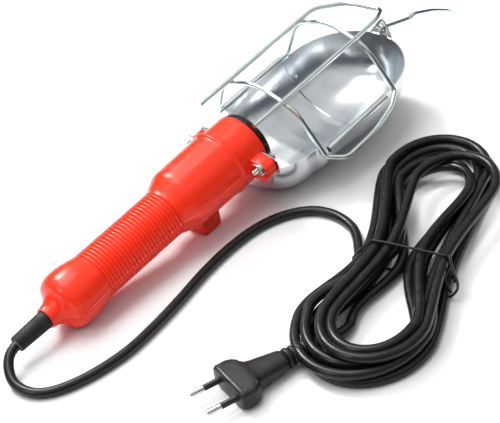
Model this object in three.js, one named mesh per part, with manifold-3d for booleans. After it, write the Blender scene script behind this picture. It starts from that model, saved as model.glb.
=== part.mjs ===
// Work light: a moulded handle with a lampholder, a half-round sheet reflector,
// a hinged wire guard, a swivelling hook, and a mains cord tied in a hank.
//
// The lamp is drawn along +X with its axis level: x = 0 is the front rim of the
// handle, +Y is its left side and +Z the open side of the reflector. The group
// "lamp" then tips it onto the floor, where it rests on its foot and its bowl.
// All sizes are in millimetres.

import * as THREE from 'three';
import { mergeVertices } from 'three/addons/utils/BufferGeometryUtils.js';
import Module from 'manifold-3d';

const wasm = await Module();
wasm.setup();

// ---- driving dimensions ----------------------------------------------------

const REST_TILT = THREE.MathUtils.degToRad(7); // the nose is up when it lies down
const GAP = 0.3; // clearance between separate pieces
const CUT_REACH = 300; // half size of a box that cuts everything on one side of a plane

const CORD_R = 3.1;
const SLEEVE_END_X = -195;

const PARTING_Z = -2.5; // plane where the two handle shells meet
const NOZZLE_X = -172;
const BARREL_X = -60.5; // where the flare ends and the barrel begins
const STEP_X = -20.6; // ring between the barrel and the front collar
const GRIP_R = 16.1;
const COLLAR_R = 21.1;
const RIB_START_X = -133.5;
const RIB_END_X = -72.5;
const RIB_COUNT = 24;
const RIB_DEPTH = 0.55;
const BARREL_UPPER_R = 21.4; // the upper shell laps over the lower one
const BARREL_LOWER_R = 20.3;
const HANDLE_SIDES = 36;

const FOOT = { x0: -53.5, x1: -39.5, halfWidth: 9, bottom: -30.4, top: -15 };

// Lugs either side of the collar; each is an upper and a lower ear with cut corners.
const LUG = { x0: -14, x1: -5.4, inner: 19.6, outer: 33, top: 9, bottom: -8.2 };
const LUG_UPPER_CUT = { y: 26.5, z: 4 };
const LUG_LOWER_CUT = { y: 29.4, z: -4.4 };
const LUG_SCREW_Y = 28.4;
const LUG_SCREW_Z = 4.2;
const LUG_SCREW_R = 1.6;

// Clamp on the cord inside the grip: a bar held down by two screws.
const CLAMP = {
  x: -84,
  halfLength: 4,
  halfWidth: 10.2,
  barZ0: CORD_R + GAP,
  barZ1: CORD_R + 2.5,
  screwsY: [-7.4, 7.4],
  screwR: 1.4,
  screwBottom: -6,
  holeBottom: -9,
  bossBottom: -12.6,
  bossR: 2.9,
};

const HEM_Z = -8.8; // straight edges of the reflector
const HEM_Y = 45.2;
const HEM_X0 = 28.5;
const HEM_X1 = 85;
const HEM_OUTER_R = 2.4;
const HEM_INNER_R = 1.85;
const SHEET = 1; // thickness of the reflector
const END_PLATE_X = -4.9; // rear face of the plate that closes the neck

const WIRE_R = 1.5; // guard and hook wire
const HOOP_NEAR_X = 22.4;
const HOOP_FAR_X = 92.5;

const HOOK_TILT = THREE.MathUtils.degToRad(21); // the shank points down by this
const HOOK_X = 138;
const HOOK_Z = -5.5;

// ---- helpers ----------------------------------------------------------------

function toManifold(geometry) {
  const clean = geometry.clone();
  clean.deleteAttribute('normal');
  clean.deleteAttribute('uv');
  const merged = mergeVertices(clean, 1e-4);
  return new wasm.Manifold(new wasm.Mesh({
    numProp: 3,
    vertProperties: merged.attributes.position.array,
    triVerts: new Uint32Array(merged.index.array),
  }));
}

function fromManifold(solid) {
  const mesh = solid.getMesh();
  const geometry = new THREE.BufferGeometry();
  geometry.setAttribute('position', new THREE.BufferAttribute(mesh.vertProperties, 3));
  geometry.setIndex(new THREE.BufferAttribute(mesh.triVerts, 1));
  return geometry;
}

function join(...geometries) {
  return fromManifold(geometries.map(toManifold).reduce((sum, next) => sum.add(next)));
}

function cut(geometry, ...tools) {
  const whole = toManifold(geometry);
  return fromManifold(tools.map(toManifold).reduce((rest, tool) => rest.subtract(tool), whole));
}

function box(x0, x1, y0, y1, z0, z1) {
  const geometry = new THREE.BoxGeometry(x1 - x0, y1 - y0, z1 - z0);
  return geometry.translate((x0 + x1) / 2, (y0 + y1) / 2, (z0 + z1) / 2);
}

// A solid of revolution about the lamp's axis, from pairs of x and radius.
function turned(profile, sides = HANDLE_SIDES) {
  const points = profile.map(([x, radius]) => new THREE.Vector2(radius, x));
  return new THREE.LatheGeometry(points, sides).rotateZ(-Math.PI / 2);
}

// A rod along X between two stations.
function rodX(x0, x1, radius, y, z, sides = 16) {
  return turned([[x0, 0], [x0, radius], [x1, radius], [x1, 0]], sides).translate(0, y, z);
}

// A tube along X with a bore.
function tubeX(x0, x1, outer, inner, y, z, sides = 16) {
  const profile = [[x0, inner], [x0, outer], [x1, outer], [x1, inner], [x0, inner]];
  return turned(profile, sides).translate(0, y, z);
}

// A rod along Z between two heights.
function rodZ(x, y, z0, z1, radius, sides = 12) {
  return rodX(z0, z1, radius, 0, 0, sides).rotateY(-Math.PI / 2).translate(x, y, 0);
}

// A plate from x0 to x1 with its outline in y and z.
function plateX(shape, x0, x1, curveSegments = 12) {
  const plate = new THREE.ExtrudeGeometry(shape, { depth: x1 - x0, bevelEnabled: false, curveSegments });
  return plate.rotateX(Math.PI / 2).rotateZ(Math.PI / 2).translate(x0, 0, 0);
}

// Straight runs joined by bends; each corner is [x, y, z, trim].
function bentPath(corners, closed = false) {
  const path = new THREE.CurvePath();
  const at = corners.map(([x, y, z]) => new THREE.Vector3(x, y, z));
  const count = corners.length;
  const along = (from, to, distance) => at[from].clone().add(
    at[to].clone().sub(at[from]).setLength(distance));
  const last = closed ? count : count - 1;
  for (let i = 0; i < last; i += 1) {
    const next = (i + 1) % count;
    const start = along(i, next, corners[i][3] ?? 0);
    const end = along(next, i, corners[next][3] ?? 0);
    path.add(new THREE.LineCurve3(start, end));
    if (closed || next < count - 1) {
      const after = along(next, (next + 1) % count, corners[next][3] ?? 0);
      path.add(new THREE.QuadraticBezierCurve3(end, at[next], after));
    }
  }
  return path;
}

function circleShape(radius, sides) {
  const shape = new THREE.Shape();
  for (let i = 0; i < sides; i += 1) {
    const angle = (2 * Math.PI * i) / sides;
    shape[i ? 'lineTo' : 'moveTo'](radius * Math.cos(angle), radius * Math.sin(angle));
  }
  return shape;
}

// A round wire or cord along an open curve.
function wire(curve, radius, steps, sides = 8) {
  return new THREE.ExtrudeGeometry(circleShape(radius, sides), { extrudePath: curve, steps });
}

// A round wire along a closed curve, with no seam.
function wireLoop(curve, radius, steps, sides = 8) {
  const frames = curve.computeFrenetFrames(steps, true);
  const positions = [];
  const index = [];
  for (let i = 0; i < steps; i += 1) {
    const centre = curve.getPointAt(i / steps);
    for (let j = 0; j < sides; j += 1) {
      const angle = (2 * Math.PI * j) / sides;
      const point = centre.clone()
        .addScaledVector(frames.normals[i], radius * Math.cos(angle))
        .addScaledVector(frames.binormals[i], radius * Math.sin(angle));
      positions.push(point.x, point.y, point.z);
      const ring = ((i + 1) % steps) * sides;
      const side = (j + 1) % sides;
      index.push(i * sides + j, i * sides + side, ring + side);
      index.push(i * sides + j, ring + side, ring + j);
    }
  }
  const geometry = new THREE.BufferGeometry();
  geometry.setAttribute('position', new THREE.Float32BufferAttribute(positions, 3));
  geometry.setIndex(index);
  return geometry;
}

const MATERIALS = {
  red_plastic: { color: 0xf03a22, roughness: 0.35 },
  black_plastic: { color: 0x17171a, roughness: 0.5 },
  bakelite: { color: 0x121214, roughness: 0.4 },
  zinc_sheet: { color: 0xc6ccd2, roughness: 0.25, metalness: 1 },
  zinc_wire: { color: 0xc4cac6, roughness: 0.35, metalness: 1 },
  brass: { color: 0xc9a44b, roughness: 0.35, metalness: 1 },
  nickel: { color: 0xc8c6c0, roughness: 0.3, metalness: 1 },
  cord_rubber: { color: 0x1f1f21, roughness: 0.55 },
  core_brown: { color: 0x6b3a1e, roughness: 0.5 },
  core_blue: { color: 0x2b4fa0, roughness: 0.5 },
};

function piece(name, geometry, slot) {
  const mesh = new THREE.Mesh(geometry, new THREE.MeshStandardMaterial(MATERIALS[slot]));
  mesh.name = name;
  return mesh;
}

// ---- handle -----------------------------------------------------------------

// Outer profile of the handle, with the barrel's radius for one of the shells.
function handleOuter(barrelR) {
  const profile = [
    [NOZZLE_X, 0],
    [NOZZLE_X, 7],
    [-168, 7.9],
    [-164.6, 9.8],
    [-162.2, 12.6],
    [-160.4, 15.2],
    [-157, 17.3],
    [-151, 18.5],
    [-144, 18.2],
    [-138, 16.9],
  ];
  const pitch = (RIB_END_X - RIB_START_X) / RIB_COUNT;
  for (let i = 0; i < RIB_COUNT; i += 1) {
    const x = RIB_START_X + i * pitch;
    profile.push([x, GRIP_R - RIB_DEPTH]);
    profile.push([x + pitch * 0.6, GRIP_R]);
  }
  profile.push(
    [RIB_END_X, GRIP_R - RIB_DEPTH],
    [-70.6, GRIP_R + 0.2],
    [BARREL_X, barrelR],
    [STEP_X - 1.4, barrelR + 1.2],
    [STEP_X, barrelR + 1.3],
    [STEP_X + 1.5, COLLAR_R],
    [-0.8, COLLAR_R],
    [0, COLLAR_R - 0.6],
    [0, 0],
  );
  return profile;
}

// Hollow of the handle: cord bore, grip, flare, lampholder seat and mouth.
const HANDLE_HOLLOW = [
  [NOZZLE_X - 1, 0],
  [NOZZLE_X - 1, 5.9],
  [-158, 5.9],
  [-156, 12.5],
  [-151, 15.9],
  [-144, 15.6],
  [-136, 13.5],
  [-72, 13.5],
  [-60, 18.2],
  [-46.5, 18.2],
  [-46.5, 14.6],
  [-42.5, 14.6],
  [-42.5, 18.1],
  [-8.2, 18.1],
  [-8.2, 19.3],
  [1, 19.3],
  [1, 0],
];

// The same ear on both sides, from the outline of the left one in y and z.
function lugEars(outline) {
  return [1, -1].map((side) => {
    const corners = outline.map(([y, z]) => new THREE.Vector2(side * y, z));
    return plateX(new THREE.Shape(corners), LUG.x0, LUG.x1);
  });
}

function upperEars() {
  const seam = PARTING_Z + GAP / 2;
  return lugEars([
    [LUG.inner, seam],
    [LUG.outer, seam],
    [LUG.outer, LUG_UPPER_CUT.z],
    [LUG_UPPER_CUT.y, LUG.top],
    [LUG.inner, LUG.top],
  ]);
}

function lowerEars() {
  const seam = PARTING_Z - GAP / 2;
  return lugEars([
    [LUG.inner, seam],
    [LUG.outer, seam],
    [LUG.outer, LUG_LOWER_CUT.z],
    [LUG_LOWER_CUT.y, LUG.bottom],
    [LUG.inner, LUG.bottom],
  ]);
}

// Tools for the two lug screws' holes, between two stations.
function lugHoles(x0, x1) {
  const radius = LUG_SCREW_R + GAP;
  return [1, -1].map((side) => rodX(x0, x1, radius, side * LUG_SCREW_Y, LUG_SCREW_Z));
}

function handleUpperShell() {
  const below = box(-CUT_REACH, CUT_REACH, -CUT_REACH, CUT_REACH, -CUT_REACH, PARTING_Z + GAP / 2);
  const half = cut(turned(handleOuter(BARREL_UPPER_R)), below);
  const withLugs = join(half, ...upperEars());
  return cut(withLugs, turned(HANDLE_HOLLOW), ...lugHoles(LUG.x0 - 1, LUG.x1 + 1));
}

function handleLowerShell() {
  const above = box(-CUT_REACH, CUT_REACH, -CUT_REACH, CUT_REACH, PARTING_Z - GAP / 2, CUT_REACH);
  const half = cut(turned(handleOuter(BARREL_LOWER_R)), above);
  const foot = box(FOOT.x0, FOOT.x1, -FOOT.halfWidth, FOOT.halfWidth, FOOT.bottom, FOOT.top);
  const solid = join(half, foot, ...lowerEars());
  const hollow = cut(solid, turned(HANDLE_HOLLOW));
  return cut(join(hollow, ...CLAMP.screwsY.map(clampBoss)), ...clampHoles());
}

// ---- cord clamp inside the grip ---------------------------------------------

function clampBoss(y) {
  return rodZ(CLAMP.x, y, CLAMP.bossBottom, CLAMP.barZ0 - GAP, CLAMP.bossR);
}

function clampHoles() {
  const radius = CLAMP.screwR + GAP;
  const top = CLAMP.barZ1 + 1;
  return CLAMP.screwsY.map((y) => rodZ(CLAMP.x, y, CLAMP.holeBottom, top, radius));
}

function clampBar() {
  const { x, halfLength, halfWidth, barZ0, barZ1 } = CLAMP;
  const bar = box(x - halfLength, x + halfLength, -halfWidth, halfWidth, barZ0, barZ1);
  return cut(bar, ...clampHoles());
}

function clampScrew(y) {
  const head = CLAMP.barZ1 + GAP;
  const headHeight = 1.8;
  const headR = 2.5;
  return join(
    rodZ(CLAMP.x, y, CLAMP.screwBottom, head + headHeight / 2, CLAMP.screwR),
    rodZ(CLAMP.x, y, head, head + headHeight, headR),
  );
}

// ---- cord inlet --------------------------------------------------------------

function cableSleeve() {
  return turned([
    [SLEEVE_END_X, CORD_R + GAP],
    [SLEEVE_END_X, 5],
    [NOZZLE_X, 5.6],
    [-157, 5.6],
    [-154.6, 5.6],
    [-154.6, 8.5],
    [-151.6, 8.5],
    [-151.6, CORD_R + GAP],
    [SLEEVE_END_X, CORD_R + GAP],
  ], 20);
}

function innerCord() {
  return rodX(SLEEVE_END_X + GAP, -72, CORD_R, 0, 0, 12);
}

// One insulated core from the cord's end to its terminal screw.
function core(side) {
  const corners = [
    [-71.6, side * 1.4, 0, 0],
    [-62, side * 1.4, 0, 4],
    [-54, side * 7, 0, 3],
    [-47.6, side * 7, 0, 0],
  ];
  return wire(bentPath(corners), 1, 14);
}

// ---- lampholder ---------------------------------------------------------------

const TERMINAL_Y = 7; // the two terminal screws, either side of the middle

function lampholderBody() {
  const cup = turned([
    [-46, 0],
    [-46, 11],
    [-42, 11],
    [-42, 17.7],
    [-8.5, 17.7],
    [-8.5, 14.8],
    [-37, 14.8],
    [-37, 0],
  ], 28);
  const screwHoles = [1, -1].map((side) => rodX(-47, -41, 1.7, 0, side * TERMINAL_Y, 12));
  return cut(cup, ...screwHoles);
}

function lampholderRing() {
  return turned([
    [-7.9, 14.8],
    [-7.9, 18.9],
    [2.6, 18.9],
    [3.8, 17.9],
    [3.8, 14.8],
    [-7.9, 14.8],
  ], 36);
}

// Threaded shell: a sheet with rounds and grooves, closed by a flange at the back.
function screwShell() {
  const threads = 7;
  const pitch = 4.4;
  const firstRound = -33;
  const roundR = 14.4;
  const grooveR = 13.7;
  const wall = 0.6;
  const profile = [[-36.7, 8], [-36.7, roundR]];
  for (let i = 0; i < threads; i += 1) {
    profile.push([firstRound + i * pitch, roundR]);
    profile.push([firstRound + (i + 0.5) * pitch, grooveR]);
  }
  profile.push([0.4, roundR], [0.4, roundR - wall]);
  for (let i = threads - 1; i >= 0; i -= 1) {
    profile.push([firstRound + (i + 0.5) * pitch, grooveR - wall]);
    profile.push([firstRound + i * pitch, roundR - wall]);
  }
  profile.push([-36, roundR - wall], [-36, 8], [-36.7, 8]);
  return turned(profile, 18);
}

function centreContact() {
  const strip = new THREE.Shape([
    new THREE.Vector2(-36.6, -6.4),
    new THREE.Vector2(-35.9, -6.4),
    new THREE.Vector2(-35.9, -2.4),
    new THREE.Vector2(-31, 3.2),
    new THREE.Vector2(-31.7, 3.8),
    new THREE.Vector2(-36.6, -2),
  ]);
  const geometry = new THREE.ExtrudeGeometry(strip, { depth: 6, bevelEnabled: false });
  return geometry.rotateX(Math.PI / 2).translate(0, 3, 0).rotateX(Math.PI / 2);
}

function terminalScrew(side) {
  const z = side * TERMINAL_Y;
  return join(rodX(-46.3, -42.4, 1.4, 0, z, 12), rodX(-47.3, -46.3, 2.6, 0, z, 12));
}

// ---- reflector ------------------------------------------------------------------

// Sections of the neck and bowl: x, half width, depth below the hem, squareness.
const SECTIONS = [
  [-4.5, 27, 20, 2.3],
  [1, 29.5, 25, 2.8],
  [8.5, 34, 28.6, 2.8],
  [16, 37, 30, 2.6],
  [26, 38.2, 30.4, 2.4],
  [30, 43.2, 29.6, 2.2],
  [42, 43.2, 30, 2],
  [54, 43.2, 32.4, 2],
  [66, 43.2, 35.8, 2],
  [80, 43.2, 38.2, 2],
];
const BOWL_X = 92;
const BOWL_LENGTH = 44.6;
const BOWL_WIDTH = 43.2;
const BOWL_DEPTH = 38;
const BOWL_STEPS = 7;
const BOWL_LAST_ANGLE = 1.44; // the rim stops just short of the middle

function reflectorSections(inset) {
  const shrunk = ([x, width, depth, power]) => [x, width - inset, depth - inset, power];
  const list = SECTIONS.map(shrunk);
  for (let i = 0; i <= BOWL_STEPS; i += 1) {
    const angle = (BOWL_LAST_ANGLE * i) / BOWL_STEPS;
    list.push([
      BOWL_X + (BOWL_LENGTH - inset) * Math.sin(angle),
      (BOWL_WIDTH - inset) * Math.cos(angle),
      (BOWL_DEPTH - inset) * Math.cos(angle) ** 0.45,
      2,
    ]);
  }
  return list;
}

// Point on one half-round section; angle 0 is the left hem, pi the right one.
function sectionPoint([x, width, depth, power], angle) {
  const shrink = (value) => Math.sign(value) * Math.abs(value) ** (2 / power);
  return [x, width * shrink(Math.cos(angle)), HEM_Z - depth * shrink(Math.sin(angle))];
}

function reflectorSheet() {
  const columns = 20;
  const rows = reflectorSections(0).length;
  const positions = [];
  for (const inset of [0, SHEET]) {
    for (const section of reflectorSections(inset)) {
      for (let j = 0; j <= columns; j += 1) {
        positions.push(...sectionPoint(section, (Math.PI * j) / columns));
      }
    }
  }
  const outer = (i, j) => i * (columns + 1) + j;
  const inner = (i, j) => (rows + i) * (columns + 1) + j;
  const index = [];
  const quad = (a, b, c, d) => index.push(a, c, b, a, d, c);
  for (let j = 0; j < columns; j += 1) {
    for (let i = 0; i < rows - 1; i += 1) {
      quad(outer(i, j), outer(i, j + 1), outer(i + 1, j + 1), outer(i + 1, j));
      quad(inner(i, j), inner(i + 1, j), inner(i + 1, j + 1), inner(i, j + 1));
    }
    quad(outer(0, j), inner(0, j), inner(0, j + 1), outer(0, j + 1));
  }
  for (let i = 0; i < rows - 1; i += 1) {
    quad(outer(i, 0), outer(i + 1, 0), inner(i + 1, 0), inner(i, 0));
    quad(outer(i, columns), inner(i, columns), inner(i + 1, columns), outer(i + 1, columns));
  }
  const end = rows - 1;
  for (let j = 1; j < columns; j += 1) {
    index.push(outer(end, 0), outer(end, j + 1), outer(end, j));
    index.push(inner(end, 0), inner(end, j), inner(end, j + 1));
  }
  quad(outer(end, 0), outer(end, columns), inner(end, columns), inner(end, 0));
  const geometry = new THREE.BufferGeometry();
  geometry.setAttribute('position', new THREE.Float32BufferAttribute(positions, 3));
  geometry.setIndex(index);
  return geometry;
}

// Plate that closes the neck against the handle and carries the two screw tabs.
function reflectorEndPlate() {
  const tabOuter = 34.4;
  const tabInner = 23;
  const tabBottom = HEM_Z + 2;
  const edge = HEM_Z - 0.5;
  const tab = [
    [tabInner, LUG.top],
    [LUG_UPPER_CUT.y, LUG.top],
    [tabOuter, LUG_UPPER_CUT.z],
    [tabOuter, tabBottom],
  ];
  const outline = new THREE.Shape();
  outline.moveTo(tabOuter, tabBottom);
  tab.toReversed().forEach(([y, z]) => outline.lineTo(y, z));
  outline.lineTo(tabInner, edge);
  outline.lineTo(-tabInner, edge);
  tab.forEach(([y, z]) => outline.lineTo(-y, z));
  const steps = 16;
  for (let i = 0; i <= steps; i += 1) {
    const [, y, z] = sectionPoint([0, 26.7, 19.7, 2.3], Math.PI - (Math.PI * i) / steps);
    outline.lineTo(y, z);
  }
  const plate = plateX(outline, END_PLATE_X, END_PLATE_X + SHEET);
  const opening = rodX(END_PLATE_X - 1, END_PLATE_X + 2, COLLAR_R + GAP, 0, 0, HANDLE_SIDES);
  return cut(plate, opening, ...lugHoles(END_PLATE_X - 1, END_PLATE_X + 2));
}

function onTab(geometry) {
  return geometry.rotateY(HOOK_TILT).translate(HOOK_X, 0, HOOK_Z);
}

// Triangular tab at the end of the bowl, square to the hook's shank.
function hookTab() {
  const outline = new THREE.Shape([
    new THREE.Vector2(-9, -6.5),
    new THREE.Vector2(9, -6.5),
    new THREE.Vector2(9, -3.6),
    new THREE.Vector2(1.2, 6.4),
    new THREE.Vector2(-1.2, 6.4),
    new THREE.Vector2(-9, -3.6),
  ]);
  const hole = new THREE.Path();
  hole.absarc(0, 0, WIRE_R + GAP, 0, 2 * Math.PI, true);
  outline.holes.push(hole);
  return onTab(plateX(outline, 0, SHEET, 8));
}

function reflector() {
  const hem = (side) => tubeX(HEM_X0, HEM_X1, HEM_OUTER_R, HEM_INNER_R, side * HEM_Y, HEM_Z, 14);
  const hems = [1, -1].map(hem);
  return join(reflectorSheet(), ...hems, reflectorEndPlate(), hookTab());
}

// ---- guard ------------------------------------------------------------------------

// One welded loop: near hoop, right rail (bowed out), far hoop, left rail (hinge).
function guardFrameWire() {
  const path = bentPath([
    [HOOP_NEAR_X, HEM_Y, HEM_Z, 2.5],
    [HOOP_NEAR_X, 30.5, 21.5, 9],
    [HOOP_NEAR_X, 0, 32, 13],
    [HOOP_NEAR_X, -30.5, 21.5, 9],
    [HOOP_NEAR_X, -48, HEM_Z, 2.5],
    [31, -57, -12.6, 5],
    [58, -56.8, -12.6, 8],
    [81, -52.6, -11, 5],
    [HOOP_FAR_X, -47, HEM_Z, 2.5],
    [HOOP_FAR_X, -29, 21.5, 9],
    [HOOP_FAR_X, 0, 31.3, 13],
    [HOOP_FAR_X, 29, 21.5, 9],
    [HOOP_FAR_X, HEM_Y, HEM_Z, 2.5],
  ], true);
  return wireLoop(path, WIRE_R, 116);
}

// The long wire that lies on both hoops and loops round the end of the bowl.
function guardLongWire() {
  const z = 27.9;
  const path = bentPath([
    [-6, 22.2, z, 0],
    [103, 21.6, z, 6],
    [123, 9, 23, 7],
    [125.5, -17, 23.5, 5],
    [112, -24.5, z - 0.6, 5],
    [-6, -24, z, 0],
  ]);
  return wire(path, WIRE_R, 60);
}

// ---- hook --------------------------------------------------------------------------

function hook() {
  const shank = (distance) => [
    HOOK_X + distance * Math.cos(HOOK_TILT),
    0,
    HOOK_Z - distance * Math.sin(HOOK_TILT),
  ];
  const rod = wire(bentPath([
    [...shank(-2.4), 0],
    [...shank(29.5), 1.8],
    [170, 0, -15.4, 1.8],
    [189, 0, -25, 7],
    [206, 0, -36.8, 7],
    [216.8, 0, -49, 0],
  ]), WIRE_R, 38);
  const head = onTab(turned([[-2.2, 0], [-2.2, 2], [-1.4, 3.1], [-GAP, 3.1], [-GAP, 0]], 16));
  const collar = onTab(rodX(SHEET + GAP, SHEET + GAP + 1.2, 2.7, 0, 0));
  return join(rod, head, collar);
}

// ---- lug fasteners --------------------------------------------------------------------

function lugScrew(side) {
  return join(
    rodX(-18.8, -3, LUG_SCREW_R, side * LUG_SCREW_Y, LUG_SCREW_Z, 12),
    rodX(-3.6, -1.8, 3.1, side * LUG_SCREW_Y, LUG_SCREW_Z, 16),
  );
}

function lugNut(side) {
  const half = 3.6;
  const nut = box(-17, LUG.x0 - GAP, -half, half, -half, half);
  const bored = cut(nut, rodX(-18, -13, LUG_SCREW_R + 0.15, 0, 0, 12));
  return bored.rotateX(side * 0.2).translate(0, side * LUG_SCREW_Y, LUG_SCREW_Z);
}

// ---- cord, hank and plug: drawn where they lie on the floor -------------------------------

const CORD_ROUTE = [
  [-208.4, 5.4, 13],
  [-214.5, 4.4, 11.4],
  [-220.5, -0.5, 7.5],
  [-224.5, -8, 4.6],
  [-225, -17, 3.4],
  [-222, -26, CORD_R],
  [-214.5, -33, CORD_R],
  [-203, -38, CORD_R],
  [-188, -41.5, CORD_R],
  [-168, -43, CORD_R],
  [-145, -40.5, CORD_R],
  [-120, -36, CORD_R],
  [-93, -30, CORD_R],
  [-66, -26.5, CORD_R],
  [-42, -27, CORD_R],
  [-23, -33.5, CORD_R],
  [-10.5, -45, CORD_R],
  [-6.5, -60, CORD_R],
  [-10, -76, CORD_R],
  [-17.5, -86.5, CORD_R],
  [-26.2, -94.6, CORD_R],
];
const HANK = { near: [-90, -149], far: [48, -100], lobeR: 41, waistR: 27, height: 20 };
const TIE_R = 0.8;
const PLUG = { x: -161.5, y: -116.3, z: 7, bodyLength: 36, bootEnd: 52, thickness: 13.4 };
const PLUG_YAW = THREE.MathUtils.degToRad(164.5);
const PIN = { y: 9.3, radius: 2, coverR: 1.75, root: -4.7, coverEnd: 10, shoulder: 18, tip: 19.2 };

// Middle, direction and half length of the hank.
function hankFrame() {
  const [x0, y0] = HANK.near;
  const [x1, y1] = HANK.far;
  return {
    x: (x0 + x1) / 2,
    y: (y0 + y1) / 2,
    yaw: Math.atan2(y1 - y0, x1 - x0),
    half: Math.hypot(x1 - x0, y1 - y0) / 2,
  };
}

function onHank(geometry) {
  const frame = hankFrame();
  return geometry.rotateZ(frame.yaw).translate(frame.x, frame.y, 0);
}

function cordHank() {
  const { half } = hankFrame();
  const outline = new THREE.Shape();
  const lean = 0.9; // where the lobe's arc hands over to the waist
  const touchX = half - HANK.lobeR * Math.cos(lean);
  const touchY = HANK.lobeR * Math.sin(lean);
  outline.absarc(half, 0, HANK.lobeR, -Math.PI + lean, Math.PI - lean, false);
  outline.bezierCurveTo(touchX - 14, touchY - 10, 14, HANK.waistR, 0, HANK.waistR);
  outline.bezierCurveTo(-14, HANK.waistR, -touchX + 14, touchY - 10, -touchX, touchY);
  outline.absarc(-half, 0, HANK.lobeR, lean, -lean, false);
  outline.bezierCurveTo(-touchX + 14, -touchY + 10, -14, -HANK.waistR, 0, -HANK.waistR);
  outline.bezierCurveTo(14, -HANK.waistR, touchX - 14, -touchY + 10, touchX, -touchY);
  const settings = { depth: HANK.height, bevelEnabled: false, curveSegments: 10 };
  const solid = new THREE.ExtrudeGeometry(outline, settings);
  const groove = box(-2, 2, -CUT_REACH, CUT_REACH, -1, 2 * TIE_R + GAP);
  const bootNotch = box(-PLUG.bootEnd - GAP, -PLUG.bodyLength, -6, 6, -8, 6);
  return cut(onHank(cut(solid, groove)), onPlug(bootNotch));
}

function hankTie() {
  const side = HANK.waistR + 2 * GAP + TIE_R;
  const top = HANK.height + 2 * GAP + TIE_R;
  const loop = bentPath([
    [0, -side, TIE_R, 0.5],
    [0, -side, top, 0.5],
    [0, side, top, 0.5],
    [0, side, TIE_R, 0.5],
  ], true);
  return onHank(wireLoop(loop, TIE_R, 40, 6));
}

function onPlug(geometry) {
  return geometry.rotateZ(PLUG_YAW).translate(PLUG.x, PLUG.y, PLUG.z);
}

// Flat two-pin plug; local +X points out along the pins.
function plugBody() {
  const outline = new THREE.Shape([
    [0, -16.5], [0, 16.5], [-8, 16.5], [-14, 13], [-26, 9], [-36, 7.5],
    [-36, -7.5], [-26, -9], [-14, -13], [-8, -16.5],
  ].map(([x, y]) => new THREE.Vector2(x, y)));
  const bevel = 1.6;
  const body = new THREE.ExtrudeGeometry(outline, {
    depth: PLUG.thickness - 2 * bevel,
    bevelThickness: bevel,
    bevelSize: bevel,
    bevelOffset: -bevel,
    bevelSegments: 2,
  }).translate(0, 0, bevel - PLUG.thickness / 2);
  const holes = [1, -1].map((side) => rodX(PIN.root - GAP, 1, PIN.radius, side * PIN.y, 0, 12));
  return onPlug(cut(body, ...holes));
}

function plugBoot() {
  const { bodyLength, bootEnd } = PLUG;
  const start = -bodyLength - GAP;
  return onPlug(turned([[-bootEnd, 0], [-bootEnd, 4.2], [start, 5.4], [start, 0]], 16));
}

function pinSleeve(side) {
  return onPlug(rodX(PIN.root, PIN.coverEnd, PIN.coverR, side * PIN.y, 0, 12));
}

function plugPin(side) {
  const { coverEnd, shoulder, tip, radius } = PIN;
  const start = coverEnd + GAP;
  const profile = [[start, 0], [start, radius], [shoulder, radius], [tip, radius / 2], [tip, 0]];
  return onPlug(turned(profile, 12).translate(0, side * PIN.y, 0));
}

function cordTube() {
  const points = CORD_ROUTE.map(([x, y, z]) => new THREE.Vector3(x, y, z));
  const curve = new THREE.CatmullRomCurve3(points);
  return wire(curve, CORD_R, 34, 10);
}

// ---- assembly -------------------------------------------------------------------------

const lamp = new THREE.Group();
lamp.name = 'lamp';
lamp.add(
  piece('handle_upper_shell', handleUpperShell(), 'red_plastic'),
  piece('handle_lower_shell', handleLowerShell(), 'red_plastic'),
  piece('cable_sleeve', cableSleeve(), 'cord_rubber'),
  piece('cord_inner_run', innerCord(), 'cord_rubber'),
  piece('cord_clamp_bar', clampBar(), 'black_plastic'),
  piece('clamp_screw_right', clampScrew(CLAMP.screwsY[0]), 'nickel'),
  piece('clamp_screw_left', clampScrew(CLAMP.screwsY[1]), 'nickel'),
  piece('core_live', core(1).rotateX(Math.PI / 2), 'core_brown'),
  piece('core_neutral', core(-1).rotateX(Math.PI / 2), 'core_blue'),
  piece('lampholder_body', lampholderBody(), 'bakelite'),
  piece('lampholder_ring', lampholderRing(), 'bakelite'),
  piece('screw_shell', screwShell(), 'brass'),
  piece('centre_contact', centreContact(), 'brass'),
  piece('terminal_screw_live', terminalScrew(1), 'brass'),
  piece('terminal_screw_neutral', terminalScrew(-1), 'brass'),
  piece('reflector', reflector(), 'zinc_sheet'),
  piece('lug_screw_left', lugScrew(1), 'nickel'),
  piece('lug_screw_right', lugScrew(-1), 'nickel'),
  piece('lug_nut_left', lugNut(1), 'nickel'),
  piece('lug_nut_right', lugNut(-1), 'nickel'),
  piece('guard_frame_wire', guardFrameWire(), 'zinc_wire'),
  piece('guard_long_wire', guardLongWire(), 'zinc_wire'),
  piece('hook', hook(), 'zinc_wire'),
);
lamp.rotation.y = -REST_TILT;
lamp.updateMatrixWorld(true);

// The origin is under the middle of the lamp, on the floor.
const extent = new THREE.Box3().setFromObject(lamp, true);
lamp.position.set(-(extent.min.x + extent.max.x) / 2, -(extent.min.y + extent.max.y) / 2, -extent.min.z);

const workLight = new THREE.Group();
workLight.name = 'work_light';
workLight.add(
  lamp,
  piece('cord', cordTube(), 'cord_rubber'),
  piece('cord_hank', cordHank(), 'cord_rubber'),
  piece('hank_tie', hankTie(), 'black_plastic'),
  piece('plug_body', plugBody(), 'black_plastic'),
  piece('plug_boot', plugBoot(), 'black_plastic'),
  piece('plug_pin_sleeve_left', pinSleeve(1), 'black_plastic'),
  piece('plug_pin_sleeve_right', pinSleeve(-1), 'black_plastic'),
  piece('plug_pin_left', plugPin(1), 'nickel'),
  piece('plug_pin_right', plugPin(-1), 'nickel'),
);

export default workLight;
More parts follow.
